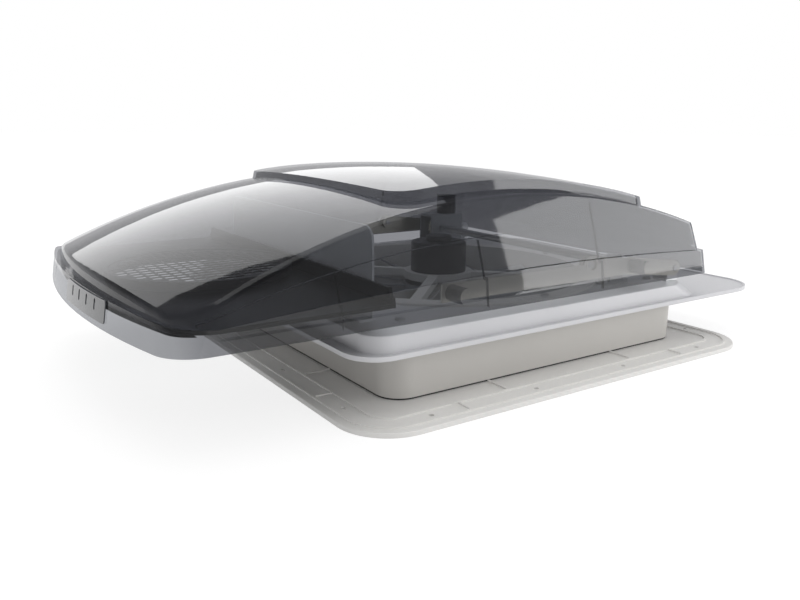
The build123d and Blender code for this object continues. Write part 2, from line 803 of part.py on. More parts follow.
buttons = []
for place in button_places:
    with BuildPart() as button:
        extrude(bar(button_collar_bottom, button_side, button_side, place), amount=-button_height)
        fillet(button.edges().group_by(Axis.Z)[0], button_round)
        collar_side = button_side + 2 * button_collar
        extrude(bar(button_collar_bottom, collar_side, collar_side, place), amount=button_collar_thickness)
    buttons.append(button)

with BuildPart() as circuit_board:
    extrude(bar(board_bottom, board_length, board_width, (0, panel_y)), amount=board_thickness)
    with BuildSketch(Plane.XY.offset(board_bottom)):
        with Locations(*button_places):
            Rectangle(switch_side, switch_side)
    extrude(amount=-switch_height)
    with BuildSketch(Plane.XY.offset(board_bottom)):
        with Locations(*[(side * (board_length - board_margin) / 2, panel_y) for side in (-1, 1)]):
            Rectangle(board_margin - 2 * slip, board_width - board_margin)
    extrude(amount=frame_top - board_bottom)


# The lid. Its forms are drawn once and made again, inset, for the inside of the wall.
def lid_outline(level, front_in, rear_in, side_in, front_corner, rear_corner):
    """The lid's plan, its front and sides bowed, drawn in from the lid's bottom edge."""
    front = lid_front + lid_front_bow + front_in
    rear = lid_rear - rear_in
    end = lid_half_end - side_in
    middle = lid_half_middle - side_in
    with BuildSketch(Plane.XY.offset(level)) as plan:
        with BuildLine():
            ThreePointArc((front, -end), (front - lid_front_bow, 0), (front, end))
            ThreePointArc((front, end), (lid_middle_x, middle), (rear, end))
            Line((rear, end), (rear, -end))
            ThreePointArc((rear, -end), (lid_middle_x, -middle), (front, -end))
        make_face()
        fillet(plan.vertices().group_by(Axis.X)[0], front_corner)
        fillet(plan.vertices().group_by(Axis.X)[-1], rear_corner)
    return plan.sketch


def arched_profile(y, apex, front_radius, rear_radius, front_x, rear_x):
    """The space below two arcs that meet at the roof's apex, as a face across Y."""
    front_angle = degrees(asin((roof_apex_x - front_x) / front_radius))
    rear_angle = degrees(asin((rear_x - roof_apex_x) / rear_radius))
    with BuildSketch(Plane.XZ.offset(-y)) as profile:
        with BuildLine():
            front = CenterArc((roof_apex_x, apex - front_radius), front_radius, 90, front_angle)
            rear = CenterArc((roof_apex_x, apex - rear_radius), rear_radius, 90, -rear_angle)
            Polyline(front @ 1, (front_x, tray_top), (rear_x, tray_top), rear @ 1)
        make_face()
    return profile.sketch


def roof_profile(share, drop, crown):
    """The space below the roof line at a share of the lid's half width from its middle."""
    spread = share**2
    return arched_profile(
        share * lid_half_middle,
        roof_edge_z + roof_crown - crown * spread - drop,
        roof_front_radius + (roof_front_edge_radius - roof_front_radius) * spread,
        roof_rear_radius + (roof_rear_edge_radius - roof_rear_radius) * spread,
        lid_front - cut_over,
        lid_rear + cut_over,
    )


def roof_block(drop, crown=roof_crown):
    """Everything under the crowned roof, lowered by drop."""
    sections = [roof_profile(share, drop, crown) for share in roof_section_shares]
    with BuildPart() as block:
        loft(sections)
    return block.part


def outer_edges(faces):
    """The edges that only one of the faces has."""
    edges = faces.edges()
    return [edge for edge in edges if sum(edge.is_same(other) for other in edges) == 1]


def top_rim(block):
    """The edge all round the block's upper faces."""
    return outer_edges(block.faces().filter_by(lambda face: face.normal_at(face.center()).Z > 0.7))


def skirt_block(inset):
    """The band round the foot of the lid, its top edge low near the front corners."""
    corners = (skirt_front_corner - inset, skirt_rear_corner - inset)
    leans = (skirt_front_lean + inset, skirt_rear_lean + inset, skirt_side_lean + inset)
    top = lid_bottom + skirt_middle_height + cut_over
    with BuildPart() as skirt:
        loft(
            [lid_outline(lid_bottom, inset, inset, inset, *corners), lid_outline(top, *leans, *corners)],
            ruled=True,
        )
        with BuildSketch(Plane.XZ):
            with BuildLine():
                shoulder = ThreePointArc(
                    (lid_front - cut_over, lid_bottom + skirt_front_height - inset),
                    ((lid_front + skirt_dip_x) / 2, lid_bottom + skirt_shoulder_height - inset),
                    (skirt_dip_x, lid_bottom + skirt_dip_height - inset),
                )
                arch = ThreePointArc(
                    shoulder @ 1,
                    (lid_middle_x, lid_bottom + skirt_middle_height - inset),
                    (lid_rear + cut_over, lid_bottom + skirt_rear_height - inset),
                )
                Polyline(
                    arch @ 1, (lid_rear + cut_over, tray_top), (lid_front - cut_over, tray_top), shoulder @ 0
                )
            make_face()
        extrude(amount=lid_half_middle + cut_over, both=True, mode=Mode.INTERSECT)
    return skirt.part


def dome_prism(inset):
    """The plan of the dome drawn up from inside the skirt, leaning in."""
    corners = (dome_front_corner - inset, dome_rear_corner - inset)
    foot = (dome_front_in + inset, dome_rear_in + inset, dome_side_in + inset)
    leans = (dome_front_lean, dome_rear_lean, dome_side_lean)
    crown = [size + lean for size, lean in zip(foot, leans)]
    low = lid_bottom + skirt_dip_height - 3 * lid_wall
    with BuildPart() as prism:
        loft(
            [lid_outline(low, *foot, *corners), lid_outline(low + dome_height, *crown, *corners)],
            ruled=True,
        )
    return prism.part


def dome_block(inset):
    """The dome, cut by the roof and rounded along the roof's edge."""
    with BuildPart() as dome:
        add(dome_prism(inset))
        add(roof_block(inset), mode=Mode.INTERSECT)
        fillet(top_rim(dome), roof_round - inset)
    return dome.part


def hump_plan(level, inset):
    """The plan of the raised panel, its front edge bowed."""
    front = -hump_front + inset
    side = hump_half_width - inset
    with BuildSketch(Plane.XY.offset(level)) as plan:
        with BuildLine():
            ThreePointArc((front, -side), (front - hump_front_bow, 0), (front, side))
            Polyline((front, side), (hump_rear - inset, side), (hump_rear - inset, -side), (front, -side))
        make_face()
        fillet(plan.vertices(), hump_corner)
    return plan.sketch


def hump_block(inset):
    """The raised panel on top of the dome, its sides leaning in."""
    with BuildPart() as hump:
        low = lid_bottom + hump_foot_rise
        high = low + roof_edge_rise
        loft([hump_plan(low, inset - hump_foot_spread), hump_plan(high, inset + hump_top_lean)], ruled=True)
        add(roof_block(inset - hump_rise, hump_crown), mode=Mode.INTERSECT)
    return hump.part


def lid_form(inset):
    """The whole lid, inset all over."""
    with BuildPart() as form:
        add(skirt_block(inset))
        add(dome_block(inset))
        add(hump_block(inset))
    return form.part


# Rib lines inside the lid: one long arch on each side and three uprights below it, of
# which the rearmost goes on up to the roof.
with BuildPart() as rib_slabs:
    rib_middle_x = (rib_arc_rear - rib_arc_front) / 2
    rib_end_rise = (rib_arc_front_rise + rib_arc_rear_rise) / 2
    with BuildSketch(Plane.XZ):
        with BuildLine():
            arch = ThreePointArc(
                (-rib_arc_front, lid_bottom + rib_arc_front_rise),
                (rib_middle_x, lid_bottom + rib_arc_middle_rise),
                (rib_arc_rear, lid_bottom + rib_arc_rear_rise),
            )
        trace(arch, rib_width)
        for x in rib_places:
            span = (x - rib_middle_x) / (rib_arc_rear - rib_middle_x)
            chord_rise = rib_end_rise + (rib_arc_rear_rise - rib_end_rise) * span
            top_rise = chord_rise + (rib_arc_middle_rise - rib_end_rise) * (1 - span**2)
            with Locations((x, lid_bottom + (rib_width + top_rise) / 2)):
                Rectangle(rib_width, top_rise - rib_width)
        with Locations((rib_places[-1], lid_bottom + tall_rib_rise / 2)):
            Rectangle(rib_width, tall_rib_rise - rib_width)
    extrude(amount=lid_half_middle, both=True)

lid_inside = lid_form(lid_wall)
with BuildPart() as ribs:
    add(rib_slabs)
    add(lid_form(lid_wall - rib_merge), mode=Mode.INTERSECT)
    add(lid_form(lid_wall + rib_depth), mode=Mode.SUBTRACT)
    extrude(
        bar(lid_bottom, lid_length, 2 * (rail_outer + rib_width), (lid_middle_x, 0)),
        amount=skirt_middle_height + slip,
        mode=Mode.SUBTRACT,
    )

# A flat panel stands slightly proud of each side of the dome. Its top edge leaves the
# roof's edge towards the front and runs down to the skirt.
with BuildPart() as side_panels:
    panel_face = arched_profile(
        0,
        lid_bottom + side_panel_top_rise,
        side_panel_front_radius,
        roof_rear_edge_radius,
        -side_panel_front,
        side_panel_rear,
    )
    extrude(panel_face, amount=lid_half_middle, both=True)
    add(dome_prism(-side_panel_proud), mode=Mode.INTERSECT)

# Bosses that carry the side rails' screws.
with BuildPart() as rail_bosses:
    for side in (-1, 1):
        with BuildSketch(Plane.XZ.offset(-side * rail_outer)):
            with Locations(*[(x, rail_middle_z) for x in rail_screw_places]):
                Circle(rail_boss_radius)
        extrude(amount=-side * (lid_half_middle - rail_outer))
    add(lid_form(lid_wall - rib_merge), mode=Mode.INTERSECT)

with BuildPart() as lid_shell:
    add(lid_form(0))
    add(side_panels)
    add(lid_inside, mode=Mode.SUBTRACT)
    extrude(
        lid_outline(lid_bottom, lid_wall, lid_wall, lid_wall, skirt_front_corner, skirt_rear_corner),
        amount=cut_over,
        both=True,
        mode=Mode.SUBTRACT,
    )
    add(ribs)
    add(rail_bosses)
    for side in (-1, 1):
        with BuildSketch(Plane.XZ.offset(-side * (rail_outer - cut_over))):
            with Locations(*[(x, rail_middle_z) for x in rail_screw_places]):
                Circle(screw_radius + running_gap)
        extrude(amount=-side * (rail_screw_length + slip - rail_thickness + cut_over), mode=Mode.SUBTRACT)

# Plate on the front of the skirt, with a row of short slots.
with BuildPart() as front_plate:
    with BuildSketch(Plane.YZ.offset(lid_front - 2 * cut_over)):
        with Locations((-front_plate_offset, lid_bottom + front_plate_rise + front_plate_height / 2)):
            RectangleRounded(2 * front_plate_half_width, front_plate_height, front_plate_rise / 2)
        with Locations((-front_plate_offset, lid_bottom + front_slot_rise)):
            with GridLocations(front_slot_pitch, 0, front_slot_count, 1):
                SlotOverall(front_slot_height, front_slot_width, rotation=90, mode=Mode.SUBTRACT)
    extrude(amount=lid_front_bow / 2)
    add(skirt_block(-slip - front_plate_thickness), mode=Mode.INTERSECT)
    add(skirt_block(-slip), mode=Mode.SUBTRACT)

# Vent frame: the floor of the lid's overhang, with a round raised seat for its mesh.
with BuildPart() as vent_frame:
    with BuildSketch(Plane.XY.offset(vent_bottom)):
        with Locations(((lid_front - vent_rear) / 2, 0)):
            Rectangle(-lid_front - vent_rear, 2 * lid_half_middle)
    extrude(amount=vent_thickness)
    with BuildSketch(Plane.XY.offset(vent_bottom)):
        with Locations((-vent_rear - vent_ring_wall / 2, 0)):
            Rectangle(vent_ring_wall, 2 * lid_half_middle)
    extrude(amount=vent_thickness + vent_lip_height)
    ring_centre = (vent_ring_x, 0)
    extrude(
        disc(vent_bottom, vent_ring_radius + vent_ring_wall, ring_centre),
        amount=vent_thickness + vent_ring_height,
    )
    add(lid_form(lid_wall + rib_depth + slip), mode=Mode.INTERSECT)
    extrude(
        disc(vent_bottom, vent_ring_radius, ring_centre),
        amount=vent_thickness + vent_ring_height,
        mode=Mode.SUBTRACT,
    )

with BuildPart() as vent_mesh:
    mesh_level = vent_top + vent_ring_height - 2 * net_thickness
    mesh_plan = net_plan(mesh_level, vent_ring_radius - running_gap, vent_pitch, ring_centre)
    extrude(mesh_plan, amount=net_thickness)

# Rain wall: a sheet that stands across the deck, on a foot with three screws.
with BuildPart() as rain_wall:
    with BuildSketch(Plane.YZ.offset(rain_wall_x)) as sheet:
        with Locations((0, deck_top + rain_wall_height / 2)):
            Rectangle(2 * rain_wall_half_width, rain_wall_height)
        fillet(sheet.vertices().group_by(Axis.Y)[-1], rain_wall_corner)
    extrude(amount=rain_wall_thickness)
    with BuildSketch(Plane.XY.offset(deck_top)):
        with Locations((rain_wall_x - rain_wall_foot / 2, 0)):
            Rectangle(rain_wall_foot, 2 * rain_wall_half_width)
        with Locations(*rain_wall_screw_places):
            Circle(screw_radius + running_gap, mode=Mode.SUBTRACT)
    extrude(amount=rain_wall_thickness)

fitting_screw = screw(screw_bite - rain_wall_thickness)
with BuildPart() as rain_wall_screws:
    with Locations(*[(x, y, deck_top + rain_wall_thickness) for x, y in rain_wall_screw_places]):
        add(fitting_screw)


def eye_and_web(y, thickness, web_width):
    """The web of a bracket on the deck: an eye over a narrow plate, facing along Y."""
    with BuildSketch(Plane.XZ.offset(-y)) as web:
        with Locations((hinge_x, hinge_z)):
            Circle(hinge_eye_radius)
        with Locations((hinge_x, (deck_top + hinge_z) / 2)):
            Rectangle(web_width, hinge_z - deck_top)
        with Locations((hinge_x, hinge_z)):
            Circle(hinge_pin_radius + press_gap, mode=Mode.SUBTRACT)
    return web.sketch


# Hinge: a bracket on each side of the deck, its pin, and the rail's eye outside it.
with BuildPart() as hinge_bracket_left:
    extrude(eye_and_web(bracket_inner, bracket_thickness, 2 * hinge_eye_radius), amount=-bracket_thickness)
    foot_middle = (hinge_x, bracket_inner - bracket_foot / 2 + bracket_thickness / 2)
    extrude(
        bar(deck_top, bracket_foot_length, bracket_foot + bracket_thickness, foot_middle),
        amount=bracket_foot_thickness,
    )
    with BuildSketch(Plane.XY.offset(deck_top)):
        with Locations(bracket_screw_places[1]):
            Circle(screw_radius + running_gap)
    extrude(amount=bracket_foot_thickness, mode=Mode.SUBTRACT)
with BuildPart() as hinge_bracket_right:
    mirror(hinge_bracket_left.part, about=Plane.XZ)

bracket_screw = screw(screw_bite - bracket_foot_thickness)
with BuildPart() as bracket_screws:
    with Locations(*[(x, y, deck_top + bracket_foot_thickness) for x, y in bracket_screw_places]):
        add(bracket_screw)

pin_end = rail_outer + pin_head_height
with BuildPart() as hinge_pin_left:
    extrude(side_disc(bracket_inner, pin_head_radius, (hinge_x, hinge_z)), amount=pin_head_height)
    extrude(
        side_disc(bracket_inner, hinge_pin_radius, (hinge_x, hinge_z)), amount=-(pin_end - bracket_inner)
    )
    chamfer(hinge_pin_left.edges().group_by(Axis.Y)[-1], hinge_pin_radius / 5)
with BuildPart() as hinge_pins:
    add(hinge_pin_left)
    mirror(hinge_pin_left.part, about=Plane.XZ)

# Side rail: a strip screwed to the lid, with the hinge eye and the arm roller's slot.
with BuildPart() as side_rail_left:
    with BuildSketch(Plane.XZ.offset(-rail_offset)):
        with Locations(((shaft_x - rail_front) / 2, rail_middle_z)):
            Rectangle(shaft_x + rail_front, rail_height)
        with Locations((shaft_x, shaft_z)):
            SlotCenterToCenter(2 * arm_length, 2 * hinge_eye_radius, rotation=-slot_angle)
        with Locations((hinge_x, hinge_z)):
            Circle(hinge_pin_radius + running_gap, mode=Mode.SUBTRACT)
        slot_reach = 2 * arm_length - slot_travel / 2
        slot_x = hinge_x - slot_reach * cos(radians(slot_angle))
        slot_z = hinge_z + slot_reach * sin(radians(slot_angle))
        with Locations((slot_x, slot_z)):
            SlotCenterToCenter(
                slot_travel, 2 * (roller_radius + slip), rotation=-slot_angle, mode=Mode.SUBTRACT
            )
        with Locations(*[(x, rail_middle_z) for x in rail_screw_places]):
            Circle(screw_radius + running_gap, mode=Mode.SUBTRACT)
    extrude(amount=-rail_thickness)
with BuildPart() as side_rail_right:
    mirror(side_rail_left.part, about=Plane.XZ)

rail_screw = screw(rail_screw_length, rail_screw_head_height)
with BuildPart() as rail_screws:
    for side in (-1, 1):
        with Locations(
            *[
                Plane(origin=(x, side * rail_offset, rail_middle_z), z_dir=(0, -side, 0))
                for x in rail_screw_places
            ]
        ):
            add(rail_screw)

# Lift shaft with an arm at each end. The arm's roller runs in the rail's slot.
with BuildPart() as lift_shaft:
    extrude(side_disc(0, shaft_radius, (shaft_x, shaft_z)), amount=arm_outer, both=True)
    chamfer(lift_shaft.edges().filter_by(GeomType.CIRCLE), shaft_radius / 6)

with BuildPart() as lift_arm_left:
    with BuildSketch(Plane.XZ.offset(-arm_inner)):
        with Locations(((shaft_x + roller_x) / 2, (shaft_z + roller_z) / 2)):
            SlotCenterToCenter(arm_length, 2 * arm_half_width, rotation=-slot_angle)
        with Locations((shaft_x, shaft_z)):
            Circle(arm_eye_radius)
        with Locations((roller_x, roller_z)):
            Circle(arm_tip_radius)
        with Locations((shaft_x, shaft_z)):
            Circle(shaft_radius + press_gap, mode=Mode.SUBTRACT)
        with Locations((roller_x, roller_z)):
            Circle(roller_pin_radius + press_gap, mode=Mode.SUBTRACT)
    extrude(amount=-arm_thickness)
with BuildPart() as lift_arm_right:
    mirror(lift_arm_left.part, about=Plane.XZ)

roller_end = rail_outer + slip
with BuildPart() as arm_rollers:
    for side in (-1, 1):
        with BuildSketch(Plane.XZ.offset(-side * (arm_outer + slip))):
            with Locations((roller_x, roller_z)):
                Circle(roller_radius)
                Circle(roller_pin_radius + running_gap, mode=Mode.SUBTRACT)
        extrude(amount=-side * (roller_end - arm_outer - slip))

with BuildPart() as roller_pins:
    for side in (-1, 1):
        pin_place = (roller_x, roller_z)
        extrude(
            side_disc(side * arm_inner, roller_pin_radius, pin_place),
            amount=-side * (roller_end + running_gap - arm_inner),
        )
        extrude(side_disc(side * arm_inner, roller_cap_radius, pin_place), amount=side * roller_cap_height)
        extrude(
            side_disc(side * (roller_end + running_gap), roller_cap_radius, pin_place),
            amount=-side * roller_cap_height,
        )

# Worm wheel on the shaft, its hub on one side.
tooth_root = wheel_radius - 1.25 * worm_module
tooth_tip = wheel_radius + worm_module
tooth_thick = worm_pitch / 2 - tooth_thinning
with BuildPart() as worm_wheel:
    with BuildSketch(Plane.XZ.offset(-drive_y + wheel_width / 2)):
        with Locations((shaft_x, shaft_z)):
            Circle(tooth_root)
            with PolarLocations((tooth_root + tooth_tip) / 2, wheel_teeth):
                Trapezoid(1.7 * tooth_thick, tooth_tip - tooth_root + worm_module / 2, 74, rotation=-90)
            Circle(shaft_radius + press_gap, mode=Mode.SUBTRACT)
    extrude(amount=-wheel_width)
    with BuildSketch(Plane.XZ.offset(-drive_y - wheel_width / 2)):
        with Locations((shaft_x, shaft_z)):
            Circle(wheel_hub_radius)
            Circle(shaft_radius + press_gap, mode=Mode.SUBTRACT)
    extrude(amount=-wheel_hub_width)

# Worm: an upright rod from the hand knob to the lid motor, its thread in mesh with the wheel.
worm_centre = (worm_x, drive_y)
knob_top = frame_bottom - slip
gearbox_top = deck_top + gearbox_height
worm_core = worm_pitch_radius - 1.25 * worm_module
with BuildPart() as worm_rod:
    extrude(disc(knob_top, worm_rod_radius, worm_centre), amount=gearbox_top + lid_motor_grip - knob_top)
    extrude(disc(shaft_z - worm_length / 2, worm_core, worm_centre), amount=worm_length)
    thread_start = shaft_z - 2 * worm_pitch
    with BuildLine(Plane(origin=(worm_x, drive_y, thread_start))) as helix:
        Helix(worm_pitch, 4 * worm_pitch, worm_core - rib_merge / 2)
    thread_plane = Plane(origin=helix.line @ 0, x_dir=(1, 0, 0), z_dir=helix.line % 0)
    with BuildSketch(thread_plane) as thread_form:
        with BuildLine():
            thread_height = worm_pitch_radius + worm_module - worm_core
            Polyline(
                (0, -0.8 * tooth_thick),
                (thread_height, -0.25 * tooth_thick),
                (thread_height, 0.25 * tooth_thick),
                (0, 0.8 * tooth_thick),
                close=True,
            )
        make_face()
    sweep(path=helix.line, is_frenet=True)

with BuildPart() as hand_knob:
    with BuildSketch(Plane.XY.offset(knob_top)):
        with Locations(worm_centre):
            Circle(hand_knob_radius)
            with PolarLocations(hand_knob_radius, hand_knob_flutes):
                Circle(hand_knob_flute_radius, mode=Mode.SUBTRACT)
    extrude(amount=-hand_knob_height)
    chamfer(hand_knob.edges().group_by(Axis.Z)[0], hand_knob_flute_radius / 4)

# Gearbox: an open box with bushes for the shaft and the worm, the lid motor on top.
with BuildPart() as gearbox:
    extrude(
        bar(deck_top, gearbox_length, 2 * gearbox_half_width, (gearbox_middle, drive_y)),
        amount=gearbox_height,
    )
    fillet(gearbox.edges().filter_by(Axis.Z), gearbox_wall / 2)
    with BuildSketch(Plane.YZ.offset(shaft_x - gearbox_front)):
        with Locations((drive_y, deck_top + gearbox_height / 2)):
            Rectangle(2 * (gearbox_half_width - gearbox_wall), gearbox_height - 2 * gearbox_wall)
    extrude(amount=gearbox_length, mode=Mode.SUBTRACT)
    extrude(
        side_disc(drive_y - gearbox_half_width, shaft_radius + running_gap, (shaft_x, shaft_z)),
        amount=-2 * gearbox_half_width,
        mode=Mode.SUBTRACT,
    )
    extrude(
        disc(deck_top, worm_rod_radius + running_gap, worm_centre),
        amount=gearbox_height,
        mode=Mode.SUBTRACT,
    )
    with BuildSketch(Plane.XY.offset(deck_top)):
        with Locations(*gearbox_screw_places):
            Circle(screw_radius + running_gap)
    extrude(amount=gearbox_wall, mode=Mode.SUBTRACT)

gearbox_screw = screw(screw_bite - gearbox_wall)
with BuildPart() as gearbox_screws:
    with Locations(*[(x, y, deck_top + gearbox_wall) for x, y in gearbox_screw_places]):
        add(gearbox_screw)

with BuildPart() as lid_motor:
    extrude(disc(gearbox_top, lid_motor_radius, worm_centre), amount=lid_motor_height)
    fillet(lid_motor.edges().group_by(Axis.Z)[-1], lid_motor_round)
    extrude(
        disc(gearbox_top, worm_rod_radius + running_gap, worm_centre),
        amount=lid_motor_grip + slip,
        mode=Mode.SUBTRACT,
    )

# Shaft bearing: the block that carries the shaft's other end.
with BuildPart() as shaft_bearing:
    with BuildSketch(Plane.XZ.offset(drive_y - bearing_length / 2)):
        with Locations((shaft_x, shaft_z)):
            Circle(bearing_eye_radius)
        with Locations((shaft_x, (deck_top + shaft_z) / 2)):
            Rectangle(2 * bearing_eye_radius, shaft_z - deck_top)
        with Locations((shaft_x, deck_top + bearing_foot_thickness / 2)):
            Rectangle(bearing_foot_length, bearing_foot_thickness)
        with Locations((shaft_x, shaft_z)):
            Circle(shaft_radius + running_gap, mode=Mode.SUBTRACT)
    extrude(amount=bearing_length)
    with BuildSketch(Plane.XY.offset(deck_top)):
        with Locations(*bearing_screw_places):
            Circle(screw_radius + running_gap)
    extrude(amount=bearing_foot_thickness, mode=Mode.SUBTRACT)

bearing_screw = screw(screw_bite - bearing_foot_thickness)
with BuildPart() as bearing_screws:
    with Locations(*[(x, y, deck_top + bearing_foot_thickness) for x, y in bearing_screw_places]):
        add(bearing_screw)

pieces = {
    "mounting_flange": mounting_flange,
    "neck_gasket": neck_gasket,
    "neck": neck,
    "neck_screws": neck_screws,
    "rain_tray": rain_tray,
    "fan_deck": fan_deck,
    "deck_screws": deck_screws,
    "fan_shroud": fan_shroud,
    "shroud_screws": shroud_screws,
    "fan_motor": fan_motor,
    "motor_screws": motor_screws,
    "fan_rotor": fan_rotor,
    "rotor_shaft": rotor_shaft,
    "hub_nut": hub_nut,
    "ceiling_frame": ceiling_frame,
    "frame_screws": frame_screws,
    "screen_rim_ring": screen_rim_ring,
    "insect_net": insect_net,
    "control_bezel": control_bezel,
    "receiver_lens": receiver_lens,
    "circuit_board": circuit_board,
    "lid_shell": lid_shell,
    "front_plate": front_plate,
    "vent_frame": vent_frame,
    "vent_mesh": vent_mesh,
    "rain_wall": rain_wall,
    "rain_wall_screws": rain_wall_screws,
    "hinge_bracket_left": hinge_bracket_left,
    "hinge_bracket_right": hinge_bracket_right,
    "bracket_screws": bracket_screws,
    "hinge_pins": hinge_pins,
    "side_rail_left": side_rail_left,
    "side_rail_right": side_rail_right,
    "rail_screws": rail_screws,
    "lift_shaft": lift_shaft,
    "lift_arm_left": lift_arm_left,
    "lift_arm_right": lift_arm_right,
    "arm_rollers": arm_rollers,
    "roller_pins": roller_pins,
    "worm_wheel": worm_wheel,
    "worm_rod": worm_rod,
    "hand_knob": hand_knob,
    "gearbox": gearbox,
    "gearbox_screws": gearbox_screws,
    "lid_motor": lid_motor,
    "shaft_bearing": shaft_bearing,
    "bearing_screws": bearing_screws,
}
for number, turn_knob in enumerate(turn_knobs, start=1):
    pieces[f"screen_knob_{number}"] = turn_knob
button_names = ("power_button", "lid_button", "air_flow_button", "slower_button", "faster_button")
for button_name, button in zip(button_names, buttons):
    pieces[button_name] = button

for name, piece in pieces.items():
    piece.part.label = name
    export_step(piece.part, f"parts/{name}.step")
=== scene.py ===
"""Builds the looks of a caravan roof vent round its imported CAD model.

Every piece is a CAD node with a procedural material. The floor, lights and camera are made here.
"""

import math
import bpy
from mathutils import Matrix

bl_info = {
    "name": "Caravan Roof Vent",
    "version": (1, 0, 0),
    "blender": (4, 5, 0),
    "location": "View3D > Sidebar > Roof Vent",
    "description": "Dresses a caravan roof vent with a smoked lid, a fan and a worm driven lift",
    "category": "Add Mesh",
}

import bmesh
import bpy
from mathutils import Quaternion, Vector

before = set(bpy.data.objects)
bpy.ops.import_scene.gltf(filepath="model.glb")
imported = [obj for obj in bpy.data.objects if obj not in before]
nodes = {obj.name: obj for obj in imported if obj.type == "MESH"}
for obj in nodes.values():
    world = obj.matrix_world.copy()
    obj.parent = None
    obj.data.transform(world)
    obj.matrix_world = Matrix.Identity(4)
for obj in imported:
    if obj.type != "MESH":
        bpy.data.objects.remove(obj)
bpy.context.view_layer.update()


class RoofVentLidSettings(bpy.types.PropertyGroup):
    """Sizes and colours of the smoked lid."""

    smoke_colour: bpy.props.FloatVectorProperty(
        name="Smoke Colour",
        description="Colour of the clear smoked acrylic",
        subtype="COLOR",
        size=3,
        default=(0.02, 0.022, 0.026),
        min=0,
        max=1,
    )
    smoke_tint: bpy.props.FloatVectorProperty(
        name="Smoke Tint",
        description="Share of the light that each face of the lid lets through",
        subtype="COLOR",
        size=3,
        default=(0.495, 0.5, 0.52),
        min=0,
        max=1,
    )
    thin_front: bpy.props.FloatProperty(
        name="Clear Front",
        description="Place along the lid from which its front skirt is clearer",
        subtype="DISTANCE",
        unit="LENGTH",
        default=-0.33,
    )
    thin_height: bpy.props.FloatProperty(
        name="Clear Skirt Height",
        description="Height up to which the lid's front skirt is clearer",
        subtype="DISTANCE",
        unit="LENGTH",
        default=0.093,
    )
    haze: bpy.props.FloatProperty(
        name="Haze",
        description="Share of the acrylic that is opaque pigment",
        subtype="FACTOR",
        default=0.06,
        min=0,
        max=1,
    )


class RoofVentBodySettings(bpy.types.PropertyGroup):
    """Colours of the body under the lid."""

    white_plastic: bpy.props.FloatVectorProperty(
        name="White Plastic",
        description="Colour of the flange, the neck and the ceiling side",
        subtype="COLOR",
        size=3,
        default=(0.76, 0.75, 0.73),
        min=0,
        max=1,
    )
    # The neck is the white plastic made darker: painted shade on its upright faces.
    neck_plastic_with_painted_shade: bpy.props.FloatVectorProperty(
        name="Neck Plastic With Painted Shade",
        description="Colour of the square neck",
        subtype="COLOR",
        size=3,
        default=(0.53, 0.515, 0.49),
        min=0,
        max=1,
    )
    deck_plastic: bpy.props.FloatVectorProperty(
        name="Deck Plastic",
        description="Colour of the fan deck and the rain tray",
        subtype="COLOR",
        size=3,
        default=(0.62, 0.62, 0.64),
        min=0,
        max=1,
    )
    wall_plastic: bpy.props.FloatVectorProperty(
        name="Rain Wall Plastic",
        description="Colour of the rain wall under the lid",
        subtype="COLOR",
        size=3,
        default=(0.86, 0.87, 0.88),
        min=0,
        max=1,
    )
    grain: bpy.props.FloatProperty(
        name="Grain",
        description="Strength of the moulded plastic's grain",
        subtype="FACTOR",
        default=0.25,
        min=0,
        max=1,
    )


class RoofVentStudioSettings(bpy.types.PropertyGroup):
    """Lights and ground of the studio."""

    key_power: bpy.props.FloatProperty(
        name="Key Light",
        description="Power of the large overhead light",
        subtype="POWER",
        unit="POWER",
        default=8.5,
        min=0,
        max=200,
    )
    back_power: bpy.props.FloatProperty(
        name="Back Light",
        description="Power of the softbox that the lid's roof reflects",
        subtype="POWER",
        unit="POWER",
        default=11.0,
        min=0,
        max=200,
    )
    side_power: bpy.props.FloatProperty(
        name="Side Light",
        description="Power of the softbox that the lid's near side reflects",
        subtype="POWER",
        unit="POWER",
        default=7.0,
        min=0,
        max=200,
    )
    sky_strength: bpy.props.FloatProperty(
        name="Sky Strength",
        description="Brightness of the room's even light",
        subtype="FACTOR",
        default=0.78,
        min=0,
        max=2,
    )
    floor_glow: bpy.props.FloatProperty(
        name="Floor White",
        description="How white the floor shows to the camera",
        subtype="FACTOR",
        default=1.14,
        min=0,
        max=2,
    )
    floor_colour: bpy.props.FloatVectorProperty(
        name="Floor Colour",
        description="Colour of the plain floor",
        subtype="COLOR",
        size=3,
        default=(0.9, 0.9, 0.9),
        min=0,
        max=1,
    )


white = (1, 1, 1, 1)

# Patterns of the plastics and metals
cloud_scale = 14
cloud_detail = 5
grain_detail = 2
plastic_cloud = 0.05
fine_grain = 1500.0
grain_depth = 0.0002
line_scale = 900
line_detail = 3
line_smooth_share = 0.75
line_rough_share = 1.3
line_dull_share = 0.85

# The smoked lid
acrylic_cloud = 0.3
acrylic_roughness = 0.035
acrylic_body_roughness = 0.3
wave_scale = 22
wave_strength = 0.08
wave_depth = 0.001
lit_tint = (0.8, 0.81, 0.82, 1)
front_fade = 0.02
skirt_fade = 0.003
front_clear_share = 0.4
front_dull_share = 0.6
even_blend = 0.5
fresnel_power = 5.0
straight_mirror = 0.04
grazing_mirror = 0.72

# The floor and the sky
floor_half = 12
floor_roughness = 0.9
floor_glow_share = 0.7
horizon_rise = 0.05
ceiling_rise = 0.5
horizon_colour = (0.7, 0.7, 0.71, 1)
ceiling_colour = (0.16, 0.16, 0.17, 1)

# Place, target and size of each softbox
overhead_box = ((0.1, 0.0, 1.9), (0, 0, 0.05), (1.8, 1.6))
back_box = ((0.208, 1.716, 0.975), (-0.2, -0.05, 0.13), (1.9, 1.2))
side_box = ((1.254, -1.076, 0.335), (0.803, -0.215, 0.158), (0.75, 0.65))

# The camera, fitted to the photograph
sensor_width = 36
camera_lens = 33.57
camera_place = (-0.4850, -0.6436, 0.2233)
camera_aim = (0.54426, 0.80556, -0.23421)
camera_roll = math.radians(0.494)


